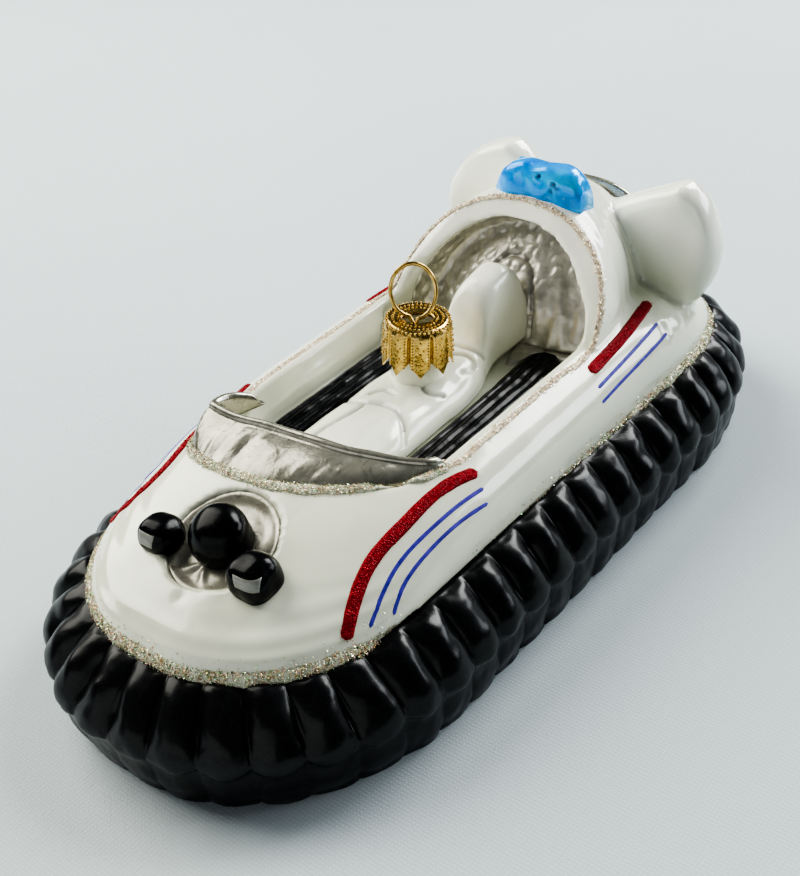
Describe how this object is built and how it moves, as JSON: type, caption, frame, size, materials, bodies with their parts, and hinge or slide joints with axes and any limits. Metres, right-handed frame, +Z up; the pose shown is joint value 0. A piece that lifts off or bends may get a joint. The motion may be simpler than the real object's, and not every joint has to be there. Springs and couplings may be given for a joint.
{
  "type": "hovercraft ornament",
  "caption": "Small blown-glass hovercraft ornament with a fingered black skirt, open cockpit, stern hood with fins, light bar, and a metal cap with a wire hanger that turns and lifts.",
  "frame": {"origin": "centre of the bounding box in plan, on the floor the skirt rests on", "axes": "+X to port, +Y towards the stern along the craft, +Z up; the bow faces -Y"},
  "size_m": [0.0612, 0.128, 0.0446],
  "materials": {
    "pearl_glass": "pearl white lacquer on blown glass, glossy",
    "black_enamel": "black enamel on blown glass, high gloss",
    "seat_glass": "white lacquer on blown glass, glossy",
    "floor_enamel": "black enamel, glossy, brushed by hand",
    "silvered_glass": "silvered glass, wavy",
    "pebbled_silver": "silvered glass, pebbled",
    "blue_lacquer": "translucent blue lacquer over silvering",
    "fin_glass": "satin white lacquer on blown glass",
    "lamp_enamel": "black enamel, high gloss",
    "pane_silver": "bare silvered patch",
    "gold_metal": "thin embossed sheet, gold coloured",
    "gold_wire": "bright gold-coloured wire"
  },
  "bodies": {
    "glass": {"hull": "pearl_glass", "skirt": "black_enamel", "seat": "seat_glass", "well_port": "floor_enamel", "well_starboard": "floor_enamel", "windscreen": "silvered_glass", "arch_panel": "pebbled_silver", "outlet_plate": "silvered_glass", "light_bar": "blue_lacquer", "fin_port": "fin_glass", "fin_starboard": "fin_glass", "nose_dish": "silvered_glass", "nose_lamp": "lamp_enamel", "headlight_port": "lamp_enamel", "headlight_starboard": "lamp_enamel", "pane_port": "pane_silver", "pane_starboard": "pane_silver", "neck": "seat_glass"},
    "cap": {"cap": "gold_metal"},
    "hanger": {"hanger": "gold_wire"}
  },
  "joints": [
    {"name": "cap_turn", "type": "hinge", "parent": "glass", "child": "cap", "pos_m": [0, 0.0017, 0.0334], "axis": [0.0714, 0.057, 0.9958], "continuous": true},
    {"name": "hanger_lift", "type": "slide", "parent": "cap", "child": "hanger", "axis": [0.0714, 0.057, 0.9958], "range_m": [0, 0.003]}
  ]
}
